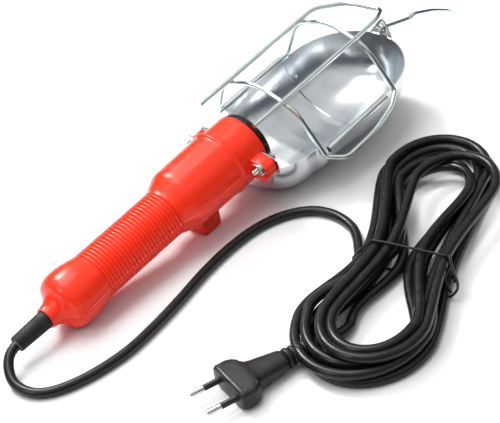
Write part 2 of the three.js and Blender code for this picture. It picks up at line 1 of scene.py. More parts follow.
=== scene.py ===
"""Work light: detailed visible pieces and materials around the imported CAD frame.

The lamp's pieces are drawn in its own frame, in millimetres, as the CAD source draws
them: x = 0 is the front rim of the handle, +Y its left side, +Z the open side of the
reflector. LAMP takes that frame to the floor. Cord, tie and plug lie on the floor.
"""

import math

import bmesh
import bpy
import numpy as np
from mathutils import Matrix, Quaternion, Vector
from mathutils.kdtree import KDTree


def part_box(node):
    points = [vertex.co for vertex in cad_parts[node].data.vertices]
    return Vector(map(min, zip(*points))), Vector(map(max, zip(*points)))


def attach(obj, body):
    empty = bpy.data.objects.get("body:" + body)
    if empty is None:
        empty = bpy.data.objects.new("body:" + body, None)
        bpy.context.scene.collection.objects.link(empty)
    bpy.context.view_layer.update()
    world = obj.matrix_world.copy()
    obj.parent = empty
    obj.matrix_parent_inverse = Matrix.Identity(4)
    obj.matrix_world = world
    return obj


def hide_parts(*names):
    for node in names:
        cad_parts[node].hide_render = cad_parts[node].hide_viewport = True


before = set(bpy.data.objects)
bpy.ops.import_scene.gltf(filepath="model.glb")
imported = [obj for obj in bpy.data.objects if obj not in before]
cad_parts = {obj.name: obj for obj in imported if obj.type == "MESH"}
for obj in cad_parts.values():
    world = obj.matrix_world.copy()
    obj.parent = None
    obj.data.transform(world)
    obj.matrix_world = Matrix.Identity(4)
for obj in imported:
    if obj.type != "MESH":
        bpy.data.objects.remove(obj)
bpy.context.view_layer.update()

# ---- driving dimensions, in millimetres where no unit is named ----

MM = 0.001
REST_TILT = math.radians(7)
SLEEVE_END_X = -195
CORD_R = 3.1
CORD_D = 2 * CORD_R

# The cord inside the handle is a plain rod, so the middle of its box is its middle.
RUN_START, RUN_END = -194.7, -72
run_low, run_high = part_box("cord_inner_run")
TILT = Matrix.Rotation(-REST_TILT, 4, "Y")
RUN_MIDDLE = TILT @ Vector(((RUN_START + RUN_END) / 2, 0, 0))
LAMP = Matrix.Translation((run_low + run_high) / 2 - RUN_MIDDLE * MM) @ TILT @ Matrix.Scale(MM, 4)


# ---- objects and tubes ----


def added(name, data):
    """A new object with that data, in the scene."""
    obj = bpy.data.objects.new(name, data)
    bpy.context.scene.collection.objects.link(obj)
    return obj


def tube(name, kind, points, radius, rings, closed=False):
    """A round tube along points in metres, as a curve object, and the curve's spline."""
    data = bpy.data.curves.new(name, "CURVE")
    data.dimensions = "3D"
    data.bevel_depth = radius * MM
    data.bevel_resolution = rings
    data.use_fill_caps = True
    line = data.splines.new(kind)
    line.points.add(len(points) - 1)
    for point, place in zip(line.points, points):
        point.co = (*place, 1)
    line.use_cyclic_u = closed
    return added(name, data), line


# ---- camera ----

VIEW_AZIMUTH = math.radians(-41.16)
VIEW_ELEVATION = math.radians(35.51)
VIEW_ROLL = math.radians(-9.99)
VIEW_TARGET = Vector((-0.0295, -0.0083, 0))
VIEW_DISTANCE = 1.0368


def make_camera():
    data = bpy.data.cameras.new("camera")
    data.sensor_width = 36
    data.lens = 119.8
    camera = added("camera", data)
    back = Vector((
        math.sin(VIEW_AZIMUTH) * math.cos(VIEW_ELEVATION),
        -math.cos(VIEW_AZIMUTH) * math.cos(VIEW_ELEVATION),
        math.sin(VIEW_ELEVATION),
    ))
    level = (-back).to_track_quat("-Z", "Y")
    camera.rotation_mode = "QUATERNION"
    camera.rotation_quaternion = level @ Quaternion((0, 0, 1), VIEW_ROLL)
    camera.location = VIEW_TARGET + back * VIEW_DISTANCE
    bpy.context.scene.camera = camera


# ---- cord ----

# The lead from the sleeve to the hank, along its middle, in the floor's frame.
CORD_ROUTE = [
    (-208.4, 5.4, 13), (-214.5, 4.4, 11.4), (-220.5, -0.5, 7.5), (-224.5, -8, 4.6),
    (-225, -17, 3.4), (-222, -26, 3.1), (-214.5, -33, 3.1), (-203, -38, 3.1),
    (-188, -41.5, 3.1), (-168, -43, 3.1), (-145, -40.5, 3.1), (-120, -36, 3.1),
    (-93, -30, 3.1), (-66, -26.5, 3.1), (-42, -27, 3.1), (-23, -33.5, 3.1),
    (-10.5, -45, 3.1), (-6.5, -60, 3.1), (-10, -76, 3.1), (-17.5, -86.5, 3.1),
]

HANK_NEAR = Vector((-90, -149, 0))
HANK_FAR = Vector((48, -100, 0))
HANK_YAW = math.atan2(HANK_FAR.y - HANK_NEAR.y, HANK_FAR.x - HANK_NEAR.x)
HANK = Matrix.Translation((HANK_NEAR + HANK_FAR) / 2 * MM) @ Matrix.Rotation(HANK_YAW, 4, "Z")

PLUG_YAW = math.radians(164.5)
PLUG = (
    Matrix.Translation(Vector((-161.5, -116.3, 7)) * MM)
    @ Matrix.Rotation(PLUG_YAW, 4, "Z")
    @ Matrix.Scale(MM, 4)
)

# One row for each turn of the hank, in its own frame: the near lobe, the place among
# the strands at the right of the tie, the far lobe, and the place at the left of the
# tie. A lobe is its tip, half width, middle and layer; a place is a side and a layer.
TURNS = [
    ((-101, 34, 0, 0), (-26, 0), (119, 32, 6, 0), (18.5, 0)),
    ((-105, 36, 1, 1), (-19.8, 1), (115, 28, 7, 1), (12.2, 1)),
    ((-102, 30, -4, 2), (-13.5, 2), (112, 25, 4, 2), (16.5, 2)),
    ((-92, 26, -4, 3), (-7, 3), (98, 23.5, 4, 2), (6, 3)),
    ((-99, 32, 2, 4), (-24, 4), (116, 29, 6, 4), (15, 4)),
    ((-97, 28, -4, 5), (-24.5, 5), (96, 24.5, -9, 6), (7, 5)),
    ((-94, 25, -8, 6), (-14, 6), (89, 23, 2, 4.6), (1, 2)),
]
LOBE_LENGTH = 1.2  # of a lobe's round end, as a share of its half width
LOBE_SWEEP = 105  # degrees either side of the tip that follow the round end

# Where the cord enters and leaves the hank, on the floor, in the hank's own frame.
HANK_ENTRY = ((-8, 25), (-26, 25))
HANK_EXIT = (-44, 11)

# The cord's last two points, in the plug's own frame. The boot ends at -52. The first
# of the two is lifted off the floor by this instead of standing at the plug's height.
CORD_END = (-60, 0, 0)
BEFORE_CORD_END = (-78, -1, 0)
BEFORE_END_LIFT = 1.4

CORD_STEP = 4  # spacing of the cord's points while it settles
LEAD_JOIN = 30  # last points of the lead that belong to the run that settles
HELD_FIRST, HELD_LAST = 20, 7  # points at the ends of that run that keep their place
PLAN_HOLD = 0.02  # share of the way back to its place in plan, for the others

SETTLE_STEPS = 380
REST_STEPS = 30  # the last ones, in which it only straightens
SINK_PER_STEP = 0.15
PASSES = 3  # of pushing, spacing and bending in each step
LOOK_EVERY = 8  # steps between two searches for strands that are near each other
LOOK_REACH = 1.8  # how far each search looks, in cord diameters
LOOK_SKIP = 6  # points along the cord that are too near to be another strand
PUSH_SHARE = 0.45  # of an overlap that each point gives way in one pass
BEND_SPANS = (2, 5)  # points either side over which the cord keeps its bend
BEND_SHARE = 0.25  # of the way back to its bend in one pass
TINY = 1e-6


def spline(points, spacing):
    """Points along a Catmull-Rom curve through the given ones, evenly spaced."""
    points = np.array(points, float)
    ends = np.vstack([2 * points[0] - points[1], points, 2 * points[-1] - points[-2]])
    t = np.linspace(0, 1, 17)[:-1, None]
    runs = []
    for a, b, c, d in zip(ends, ends[1:], ends[2:], ends[3:]):
        runs.append(
            b
            + 0.5 * t * (c - a)
            + t**2 * (a - 2.5 * b + 2 * c - 0.5 * d)
            + t**3 * (1.5 * b - 0.5 * a - 1.5 * c + 0.5 * d)
        )
    fine = np.vstack([*runs, points[-1:]])
    along = np.concatenate([[0], np.cumsum(np.linalg.norm(np.diff(fine, axis=0), axis=1))])
    marks = np.linspace(0, along[-1], max(2, round(along[-1] / spacing) + 1))
    return np.column_stack([np.interp(marks, along, fine[:, i]) for i in range(3)])


def lobe_points(lobe, side):
    """The round end of one turn, from one flank to the other; side is +1 from the left."""
    tip, width, middle, layer = lobe
    centre = tip - math.copysign(width * LOBE_LENGTH, tip)
    height = CORD_R + layer * CORD_D
    points = []
    for degrees in np.linspace(-LOBE_SWEEP, LOBE_SWEEP, 9):
        angle = math.radians(degrees)
        points.append((
            centre + (tip - centre) * math.cos(angle),
            middle - side * width * math.sin(angle),
            height,
        ))
    return points


def hank_points():
    """The turns of the hank in its own frame, before they settle on each other."""
    points = []
    for near, right, far, left in TURNS:
        right_z, left_z = (CORD_R + place[1] * CORD_D for place in (right, left))
        points += lobe_points(near, 1)
        points += [(0, right[0], right_z), *lobe_points(far, -1), (0, left[0], left_z)]
    return points


def bends_of(line):
    """For each span, how far the line's points stand off the chord across them, in plan."""
    bends = []
    for span in BEND_SPANS:
        bend = line[span:-span] - (line[: -2 * span] + line[2 * span :]) / 2
        bend[:, 2] = 0
        bends.append((span, bend))
    return bends


def near_pairs(line):
    """Pairs of points that are near each other without being on the same stretch."""
    tree = KDTree(len(line))
    for i, point in enumerate(line):
        tree.insert(point, i)
    tree.balance()
    return np.array([
        (i, j)
        for i, point in enumerate(line)
        for _, j, _ in tree.find_range(point, LOOK_REACH * CORD_D)
        if j > i + LOOK_SKIP
    ])


def push_apart(line, first, second):
    """Moves strands that overlap away from each other."""
    gap = line[second] - line[first]
    far = np.maximum(np.linalg.norm(gap, axis=1), TINY)
    push = np.maximum(CORD_D - far, 0)[:, None] * PUSH_SHARE * gap / far[:, None]
    np.add.at(line, first, -push)
    np.add.at(line, second, push)


def keep_spacing(line, spacing):
    """Moves neighbours back to their distance: the even links first, then the odd ones."""
    for parity in (0, 1):
        i = np.arange(parity, len(line) - 1, 2)
        link = line[i + 1] - line[i]
        long = np.maximum(np.linalg.norm(link, axis=1), TINY)
        fix = 0.5 * (1 - spacing[i] / long)[:, None] * link
        line[i] += fix
        line[i + 1] -= fix


def keep_bends(line, bends):
    """Moves each point part of the way back to the bend it started with."""
    for span, bend in bends:
        middle = (line[: -2 * span] + line[2 * span :]) / 2 + bend
        line[span:-span] += BEND_SHARE * (middle - line[span:-span])


def settled(start, home):
    """The line after it sinks under gravity and rests on the floor and on itself.

    home is how strongly each point keeps its place in plan; a point with 1 stays where
    it is. The line is as stiff as a cord: each stretch keeps the bend it starts with,
    apart from what pushes on it.
    """
    spacing = np.linalg.norm(np.diff(start, axis=0), axis=1)
    bends = bends_of(start)
    held = home >= 1
    line = start.copy()
    for step in range(SETTLE_STEPS):
        if step < SETTLE_STEPS - REST_STEPS:
            line[:, 2] -= SINK_PER_STEP
        if step % LOOK_EVERY == 0:
            first, second = near_pairs(line).T
        for _ in range(PASSES):
            push_apart(line, first, second)
            keep_spacing(line, spacing)
            keep_bends(line, bends)
            line[:, 2] = np.maximum(line[:, 2], CORD_R)
        line[:, :2] += home[:, None] * (start[:, :2] - line[:, :2])
        line[held] = start[held]
    return line


def cord_line():
    """The cord's middle, in millimetres: the lead, and the run from there to the plug."""
    lead = spline(CORD_ROUTE, CORD_STEP)
    entry = [(*place, CORD_R) for place in HANK_ENTRY]
    in_hank = [*entry, *hank_points(), (*HANK_EXIT, CORD_R)]
    to_row = HANK.to_3x3()
    centre = HANK.translation / MM
    turns = [to_row @ Vector(p) + centre for p in in_hank]
    before_end = PLUG @ Vector(BEFORE_CORD_END) / MM
    before_end.z = CORD_R + BEFORE_END_LIFT
    end = PLUG @ Vector(CORD_END) / MM
    route = [*lead[-LEAD_JOIN:], *turns, before_end, end]
    return lead[:-LEAD_JOIN], spline([tuple(p) for p in route], CORD_STEP)


def make_cord():
    """The cord as a curve, and its middle line in millimetres."""
    lead, turns = cord_line()
    home = np.full(len(turns), PLAN_HOLD)
    home[:HELD_FIRST] = 1
    home[-HELD_LAST:] = 1
    line = np.vstack([lead, settled(turns, home)])
    cord, strand = tube("power_cord", "NURBS", line * MM, CORD_R, 6)
    cord.data.resolution_u = 2
    strand.use_endpoint_u = True
    strand.order_u = 4
    return cord, line


# ---- mesh helpers ----


def add_mesh(name, points, faces, place=LAMP, sharp=35):
    """A mesh object from points in millimetres, smooth but for edges over the angle."""
    mesh = bpy.data.meshes.new(name)
    mesh.from_pydata([place @ Vector(p) for p in points], [], faces)
    work = bmesh.new()
    work.from_mesh(mesh)
    bmesh.ops.remove_doubles(work, verts=work.verts, dist=0.01 * MM)
    bmesh.ops.dissolve_degenerate(work, edges=work.edges, dist=0.001 * MM)
    bmesh.ops.recalc_face_normals(work, faces=work.faces)
    work.to_mesh(mesh)
    work.free()
    smooth(mesh, sharp)
    return added(name, mesh)


def smooth(mesh, sharp):
    mesh.shade_smooth()
    mesh.set_sharp_from_angle(angle=math.radians(sharp))


def applied(obj):
    """A mesh of the object with its modifiers or its curve applied."""
    graph = bpy.context.evaluated_depsgraph_get()
    return bpy.data.meshes.new_from_object(obj.evaluated_get(graph))


def combine(obj, tool, operation, sharp=35):
    """Joins the tool to the object or cuts it away, and removes the tool."""
    change = obj.modifiers.new(operation, "BOOLEAN")
    change.operation = operation
    change.solver = "EXACT"
    change.object = tool
    mesh = applied(obj)
    obj.modifiers.clear()
    obj.data = mesh
    smooth(mesh, sharp)
    bpy.data.objects.remove(tool)
    return obj


def join(name, objects):
    """One object from several that belong to the same solid piece."""
    with bpy.context.temp_override(active_object=objects[0], selected_editable_objects=objects):
        bpy.ops.object.join()
    objects[0].name = name
    return objects[0]


def grid(rows, columns, start=0, wrap=False):
    """Quads of a grid of points; wrap joins the last column to the first."""
    faces = []
    for i in range(rows - 1):
        for j in range(columns if wrap else columns - 1):
            k = (j + 1) % columns
            a, b = start + i * columns, start + (i + 1) * columns
            faces.append((a + j, a + k, b + k, b + j))
    return faces


def sheet_faces(rows, columns):
    """Faces of two grids of points, one after the other, closed along their edges."""
    second = rows * columns
    faces = grid(rows, columns) + grid(rows, columns, second)
    for i in range(rows - 1):
        for j in (0, columns - 1):
            a, b = i * columns + j, (i + 1) * columns + j
            faces.append((a, b, second + b, second + a))
    for j in range(columns - 1):
        for i in (0, rows - 1):
            a = i * columns + j
            faces.append((a, a + 1, second + a + 1, second + a))
    return faces


def turned(name, profile, sides=72, place=LAMP, closed=False, radius=None):
    """A solid of revolution about X from (x, radius); closed joins the profile's ends.

    radius(x, r, angle), where it is given, changes the radius round the piece.
    """
    points = []
    for x, r in profile:
        for j in range(sides):
            angle = math.tau * j / sides
            size = radius(x, r, angle) if radius else r
            points.append((x, size * math.cos(angle), size * math.sin(angle)))
    rows = len(profile)
    faces = grid(rows, sides, wrap=True)
    if closed:
        last = (rows - 1) * sides
        faces += [(last + j, last + (j + 1) % sides, (j + 1) % sides, j) for j in range(sides)]
    else:
        for first, size in ((0, profile[0][1]), ((rows - 1) * sides, profile[-1][1])):
            if size > 0:
                faces.append(tuple(range(first, first + sides)))
    return add_mesh(name, points, faces, place)


def rounded(corners, closed=False, steps=5):
    """Straight runs joined by bends; each corner is its coordinates and a trim."""
    at = [Vector(c[:-1]) for c in corners]
    count = len(corners)
    path = []
    for i, corner in enumerate(corners):
        trim = corner[-1]
        if trim == 0 or (not closed and i in (0, count - 1)):
            path.append(at[i])
            continue
        before = at[i] + (at[i - 1] - at[i]).normalized() * trim
        after = at[i] + (at[(i + 1) % count] - at[i]).normalized() * trim
        for k in range(steps + 1):
            t = k / steps
            path.append((1 - t) ** 2 * before + 2 * t * (1 - t) * at[i] + t * t * after)
    return path


def round_edges(obj, size, segments, least_turn=0.0, keep_apart=False):
    """Rounds the edges that turn by more than that angle, in radians."""
    work = bmesh.new()
    work.from_mesh(obj.data)
    bmesh.ops.bevel(
        work,
        geom=[e for e in work.edges if e.calc_face_angle(0) > least_turn],
        offset=size * MM,
        segments=segments,
        profile=0.5,
        affect="EDGES",
        clamp_overlap=keep_apart,
    )
    work.to_mesh(obj.data)
    work.free()


def prism(name, outline, low, high, place=LAMP, bevel=0.0, sharp=35):
    """A plate with an outline in Y and Z, between two stations along X."""
    count = len(outline)
    points = [(x, *p[:2]) for x in (low, high) for p in outline]
    faces = [tuple(range(count)), tuple(range(count, 2 * count))]
    faces += [(j, (j + 1) % count, count + (j + 1) % count, count + j) for j in range(count)]
    obj = add_mesh(name, points, faces, place)
    if bevel:
        round_edges(obj, bevel, 3, least_turn=0.9, keep_apart=True)
        smooth(obj.data, sharp)
    return obj


def rod(name, path, radius, place=LAMP, closed=False, sides=6):
    """A round wire along points, as a curve."""
    points = [place @ Vector(p) for p in path]
    obj, line = tube(name, "POLY", points, radius, sides, closed)
    line.use_smooth = True
    return obj


def as_mesh(obj):
    """The same object with its curve turned into a mesh."""
    mesh = applied(obj)
    smooth(mesh, 40)
    made = added(obj.name, mesh)
    bpy.data.objects.remove(obj)
    return made


# ---- materials ----

# The mix node's sockets for colours; it has others for numbers under the same names.
MIX_FACTOR, MIX_A, MIX_B, MIX_RESULT = 0, 6, 7, 2


class Look:
    """A node material under construction, with the shader's own sockets set directly."""

    def __init__(self, name, colour, roughness, metallic=0.0, specular=0.5):
        self.material = bpy.data.materials.new(name)
        self.material.use_nodes = True
        self.tree = self.material.node_tree
        self.shader = self.tree.nodes["Principled BSDF"]
        self.colour, self.roughness = colour, roughness
        self.feed(self.shader, {
            "Base Color": (*colour, 1),
            "Roughness": roughness,
            "Metallic": metallic,
            "Specular IOR Level": specular,
        })
        self.coordinates = self.tree.nodes.new("ShaderNodeTexCoord").outputs["Object"]
        self.normal = None

    def feed(self, node, inputs):
        """Sets a node's inputs, or links those that come from another node's output."""
        for name, value in inputs.items():
            if isinstance(value, bpy.types.NodeSocket):
                self.tree.links.new(value, node.inputs[name])
            else:
                node.inputs[name].default_value = value
        return node

    def node(self, kind, inputs):
        return self.feed(self.tree.nodes.new(f"ShaderNode{kind}"), inputs)

    def noise(self, scale, detail=3.0, stretch=(1, 1, 1)):
        """Noise with that many features per metre, drawn out along an axis by stretch."""
        place = {"Scale": stretch, "Rotation": (0, REST_TILT, 0), "Vector": self.coordinates}
        point = self.node("Mapping", place).outputs["Vector"]
        texture = {"Scale": scale, "Detail": detail, "Vector": point}
        return self.node("TexNoise", texture).outputs["Fac"]

    def ramp(self, factor, low, high, start, end):
        """The factor, from low to high, as a number from start to end."""
        limits = {"From Min": low, "From Max": high, "To Min": start, "To Max": end}
        return self.node("MapRange", {**limits, "Value": factor}).outputs["Result"]

    def tint(self, factor, other):
        """Mixes the colour towards another one by the factor."""
        mix = self.tree.nodes.new("ShaderNodeMix")
        mix.data_type = "RGBA"
        links = self.shader.inputs["Base Color"].links
        before = links[0].from_socket if links else (*self.colour, 1)
        self.feed(mix, {MIX_A: before, MIX_B: (*other, 1), MIX_FACTOR: factor})
        self.feed(self.shader, {"Base Color": mix.outputs[MIX_RESULT]})
        return self

    def rough(self, factor, spread):
        """Varies the roughness by the factor, by that much either way."""
        value = self.ramp(factor, 0.3, 0.7, self.roughness - spread, self.roughness + spread)
        self.feed(self.shader, {"Roughness": value})
        return self

    def bump(self, factor, depth_mm, strength=1.0):
        """Adds a bump of that depth on top of the ones before."""
        inputs = {"Strength": strength, "Distance": depth_mm * MM, "Height": factor}
        if self.normal:
            inputs["Normal"] = self.normal
        self.normal = self.node("Bump", inputs).outputs["Normal"]
        self.feed(self.shader, {"Normal": self.normal})
        return self


def red_plastic():
    look = Look("red_plastic", (0.93, 0.034, 0.009), 0.27, specular=0.33)
    look.tint(look.ramp(look.noise(28, 4), 0.35, 0.75, 0, 0.3), (0.84, 0.026, 0.007))
    scuffs = look.noise(160, 6, (0.15, 1, 1))
    look.tint(look.ramp(scuffs, 0.66, 0.8, 0, 0.25), (0.94, 0.08, 0.04))
    look.rough(look.noise(90, 5), 0.06)
    look.bump(look.noise(2600, 2), 0.01, 0.5)
    return look.bump(look.noise(40, 2), 0.1, 0.25).material


def zinc_sheet():
    look = Look("zinc_sheet", (0.64, 0.67, 0.69), 0.23, metallic=1.0)
    look.tint(look.ramp(look.noise(45, 4), 0.35, 0.7, 0, 0.4), (0.47, 0.52, 0.58))
    look.tint(look.ramp(look.noise(9, 2), 0.45, 0.65, 0, 0.35), (0.66, 0.6, 0.58))
    look.rough(look.noise(120, 5, (0.1, 1, 1)), 0.05)
    look.bump(look.noise(900, 3, (0.06, 1, 1)), 0.004, 0.5)
    return look.bump(look.noise(30, 1), 0.2, 0.08).material


def zinc_wire():
    look = Look("zinc_wire", (0.66, 0.735, 0.715), 0.2, metallic=1.0)
    look.tint(look.ramp(look.noise(140, 4), 0.4, 0.7, 0, 0.6), (0.54, 0.62, 0.6))
    look.rough(look.noise(400, 4), 0.06)
    return look.bump(look.noise(1800, 3), 0.01, 0.5).material


def bright_metal(name, colour, roughness):
    look = Look(name, colour, roughness, metallic=1.0)
    look.tint(look.ramp(look.noise(300, 4), 0.4, 0.75, 0, 0.5), tuple(0.72 * c for c in colour))
    look.rough(look.noise(600, 4), 0.07)
    return look.bump(look.noise(2200, 3), 0.008, 0.5).material


def black_moulding(name, colour, roughness, grain=0.02):
    look = Look(name, colour, roughness, specular=0.3)
    look.tint(look.ramp(look.noise(140, 5), 0.45, 0.75, 0, 0.6), tuple(2.1 * c for c in colour))
    look.rough(look.noise(220, 5), 0.08)
    look.bump(look.noise(3200, 3), grain, 0.7)
    return look.bump(look.noise(240, 2), 0.05, 0.3).material


def core_insulation(name, colour):
    look = Look(name, colour, 0.45)
    look.tint(look.ramp(look.noise(500, 4), 0.4, 0.7, 0, 0.5), tuple(0.6 * c for c in colour))
    look.rough(look.noise(700, 3), 0.06)
    return look.bump(look.noise(2500, 2), 0.01, 0.5).material


MATERIALS = {
    "red_plastic": red_plastic(),
    "zinc_sheet": zinc_sheet(),
    "zinc_wire": zinc_wire(),
    "brass": bright_metal("brass", (0.78, 0.56, 0.24), 0.26),
    "nickel": bright_metal("nickel", (0.66, 0.63, 0.6), 0.22),
    "black_plastic": black_moulding("black_plastic", (0.012, 0.0105, 0.0105), 0.4),
    "bakelite": black_moulding("bakelite", (0.005, 0.005, 0.006), 0.28, 0.006),
    "cord_rubber": black_moulding("cord_rubber", (0.0062, 0.006, 0.006), 0.31, 0.012),
    "core_brown": core_insulation("core_brown", (0.16, 0.05, 0.02)),
    "core_blue": core_insulation("core_blue", (0.025, 0.09, 0.36)),
}
MATTE_RUBBER = black_moulding("matte_rubber", (0.008, 0.008, 0.008), 0.6, 0.04)


def finish_piece(obj, body, slot, *nodes, material=None):
    """Gives a piece its material, its body and the CAD nodes that it stands for."""
    obj.data.materials.clear()
    obj.data.materials.append(material or MATERIALS[slot])
    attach(obj, body)
    if nodes:
        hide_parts(*nodes)
    return obj


# ---- handle ----

PARTING_Z = -2.5
SEAM_GAP = 0.5
LOWER_INSET = 0.3  # the lower shell stands back from the upper one by this
GRIP_R = 16.1
RIB_START_X = -133.5
RIB_END_X = -72.5
RIB_COUNT = 24
RIB_DEPTH = 0.85
BARREL_X = -60.5
STEP_X = -20.6
COLLAR_R = 21.1
LIP_PROUD = 0.85  # the raised band along the upper shell's edge
LIP_SHARE = 0.048  # its width, as a share of the way round the shell
LIP_RISE = 0.006  # the share over which it rises to its height
LIP_REAR_X, LIP_REAR_RUN = -160, 8  # where the band starts and how soon it is full
LIP_FRONT_X, LIP_FRONT_RUN = -22, 4  # where it ends and how soon before that it sinks
THINNEST_WALL = 1

NOZZLE_PROFILE = [
    (-172, 7, 0), (-171.2, 7.15, 0), (-168.3, 7.7, 0), (-165.6, 9.1, 0), (-163.6, 11, 0),
    (-162.2, 13.2, 0), (-161.4, 15, 0),
]
BUTT_PROFILE = [
    (-161.1, 15.3, 0), (-160.2, 16.4, 0), (-158, 17.6, 0), (-155, 18.35, 0), (-150.5, 18.6, 0),
    (-146, 18.35, 0), (-141, 17.6, 0), (-137, 16.8, 0), (-134.3, 16.3, 0),
]
HOLLOW_PROFILE = [
    (-172, 5.9), (-158, 5.9), (-155, 12.5), (-151, 15.9), (-144, 15.6), (-136, 13.5),
    (-72, 13.5), (-60, 18.2), (-9, 18.2), (-8.4, 19.3), (0, 19.3),
]


def handle_profile(barrel_r):
    """The handle's outline as (x, radius), from the nozzle to the front rim."""
    profile = [tuple(p[:2]) for p in spline(NOZZLE_PROFILE, 0.6)]
    profile += [tuple(p[:2]) for p in spline(BUTT_PROFILE, 0.9)]
    steps = 8
    pitch = (RIB_END_X - RIB_START_X) / RIB_COUNT
    for i in range(RIB_COUNT * steps + 1):
        groove = math.cos(math.pi * i / steps) ** 6
        profile.append((RIB_START_X + i * pitch / steps, GRIP_R - RIB_DEPTH * groove))
    flare = rounded([
        (RIB_END_X + 0.4, GRIP_R + 0.1, 0),
        (-70.4, GRIP_R + 0.3, 1.6),
        (BARREL_X, barrel_r, 2.2),
        (STEP_X - 2.6, barrel_r + 0.75, 1),
        (STEP_X - 1.9, barrel_r + 1.6, 0.5),
        (STEP_X - 0.2, barrel_r + 1.65, 0.6),
        (STEP_X + 0.5, COLLAR_R, 0.5),
        (-0.5, COLLAR_R, 0.6),
        (0, COLLAR_R - 0.6, 0),
    ])
    return profile + dense(flare, 2.5)


def dense(path, longest):
    """The path with points added so that no stretch is longer than that along X."""
    points = []
    for (x0, r0), (x1, r1) in zip(path, path[1:]):
        pieces = max(1, math.ceil(abs(x1 - x0) / longest))
        for k in range(pieces):
            points.append((x0 + (x1 - x0) * k / pieces, r0 + (r1 - r0) * k / pieces))
    return points + [tuple(path[-1])]


def clamped(value):
    return min(1.0, max(0.0, value))


def lip_height(x, share):
    """How far the raised band stands at a station and a share of the way round."""
    edge = min(share, 1 - share)
    across = clamped((LIP_SHARE - edge) / LIP_RISE)
    rear = clamped((x - LIP_REAR_X) / LIP_REAR_RUN)
    front = clamped((LIP_FRONT_X - x) / LIP_FRONT_RUN)
    return LIP_PROUD * across * rear * front


def half_shell(name, profile, up):
    """One of the two shells, on its side of the parting plane; up is 1 or -1."""
    seam = PARTING_Z + up * SEAM_GAP / 2
    near_edge = [0, 0.006, 0.02, 0.036, LIP_SHARE - 0.005, LIP_SHARE, LIP_SHARE + 0.008]
    middle = [0.075 + 0.85 * k / 52 for k in range(53)]
    shares = near_edge + middle + [1 - s for s in reversed(near_edge)]
    hollow_x, hollow_r = zip(*HOLLOW_PROFILE)
    points = []
    for inside in (False, True):
        for x, r in profile:
            outer = r if up > 0 else r - LOWER_INSET
            size = outer
            if inside:
                size = min(float(np.interp(x, hollow_x, hollow_r)), outer - THINNEST_WALL)
            first = math.asin(seam / size)
            sweep = math.pi - 2 * first * up
            for share in shares:
                angle = first + up * sweep * share
                proud = lip_height(x, share) if up > 0 and not inside else 0
                reach = size + proud
                points.append((x, reach * math.cos(angle), reach * math.sin(angle)))
    return add_mesh(name, points, sheet_faces(len(profile), len(shares)), sharp=32)


LUG_X0, LUG_X1 = -14, -5.4
LUG_INNER, LUG_OUTER = 19.8, 33
LUG_TOP, LUG_BOTTOM = 5.5, -8.4
LUG_SCREW_Y, LUG_SCREW_Z = 28.4, 2.9
LUG_UPPER_CUT = (28.4, 2.4)  # y where the corner's cut meets the top, z where the side
LUG_LOWER_CUT = (29.4, -4.4)

FOOT_X0, FOOT_X1 = -53.5, -39.5
FOOT_HALF_WIDTH = 9
FOOT_TOP, FOOT_BOTTOM = -19, -30.4
FOOT_DRAFT = 0.8  # how much further out each side stands at the top
FOOT_BEVEL = 1.1


def ear(side, cut, edge, seam):
    """Half a lug, from the parting line to its top or bottom edge, with a cut corner."""
    corners = [
        (LUG_INNER, seam, 0),
        (LUG_OUTER, seam, 0.4),
        (LUG_OUTER, cut[1], 1.4),
        (cut[0], edge, 1.4),
        (LUG_INNER, edge, 0),
    ]
    outline = [(side * p[0], p[1]) for p in rounded(corners, closed=True, steps=3)]
    return prism("ear", outline, LUG_X0, LUG_X1, bevel=0.35)


def make_handle():
    upper = half_shell("shell_upper", handle_profile(21.4), 1)
    lower = half_shell("shell_lower", handle_profile(20.3), -1)
    seam = SEAM_GAP / 2
    for side in (1, -1):
        combine(upper, ear(side, LUG_UPPER_CUT, LUG_TOP, PARTING_Z + seam), "UNION")
        combine(lower, ear(side, LUG_LOWER_CUT, LUG_BOTTOM, PARTING_Z - seam), "UNION")
    combine(lower, foot_block(), "UNION")
    finish_piece(upper, "handle", "red_plastic", "handle_upper_shell")
    finish_piece(lower, "handle", "red_plastic", "handle_lower_shell")


def foot_block():
    """The block under the barrel, drafted towards the floor."""
    middle = (FOOT_X0 + FOOT_X1) / 2
    wide = FOOT_HALF_WIDTH
    points = []
    for z, spread in ((FOOT_TOP, FOOT_DRAFT), (FOOT_BOTTOM, 0)):
        for x, y in ((FOOT_X0, -wide), (FOOT_X1, -wide), (FOOT_X1, wide), (FOOT_X0, wide)):
            points.append((
                x + math.copysign(spread, x - middle),
                y + math.copysign(spread, y),
                z,
            ))
    faces = [(0, 1, 2, 3), (4, 5, 6, 7), (0, 1, 5, 4), (1, 2, 6, 5), (2, 3, 7, 6), (3, 0, 4, 7)]
    foot = add_mesh("foot", points, faces)
    round_edges(foot, FOOT_BEVEL, 4)
    return foot


def make_sleeve():
    """The tapered rubber tube that the cord comes out of."""
    bore = CORD_R + 0.3
    profile = rounded([
        (SLEEVE_END_X, bore, 0),
        (SLEEVE_END_X, 5.1, 0.5),
        (-172, 5.75, 0),
        (-156, 5.75, 0),
        (-156, bore, 0),
    ])
    sleeve = turned("sleeve", profile, 56, closed=True)
    finish_piece(sleeve, "handle", "cord_rubber", "cable_sleeve", material=MATTE_RUBBER)


# ---- lampholder ----

THREAD_X0, THREAD_X1 = -36.4, 0.4
THREAD_R = 13.95
THREAD_DEPTH = 0.42
THREAD_PITCH = 3.6
THREAD_WALL = 0.5
THREAD_FADE = 2  # how soon before the mouth the thread dies away
THREAD_ROWS = 90


def thread_radius(x, r, angle):
    """The radius of a round thread that winds along the shell."""
    wave = math.cos(math.tau * x / THREAD_PITCH - angle)
    return r + THREAD_DEPTH * wave * min(1, (THREAD_X1 - x) / THREAD_FADE)


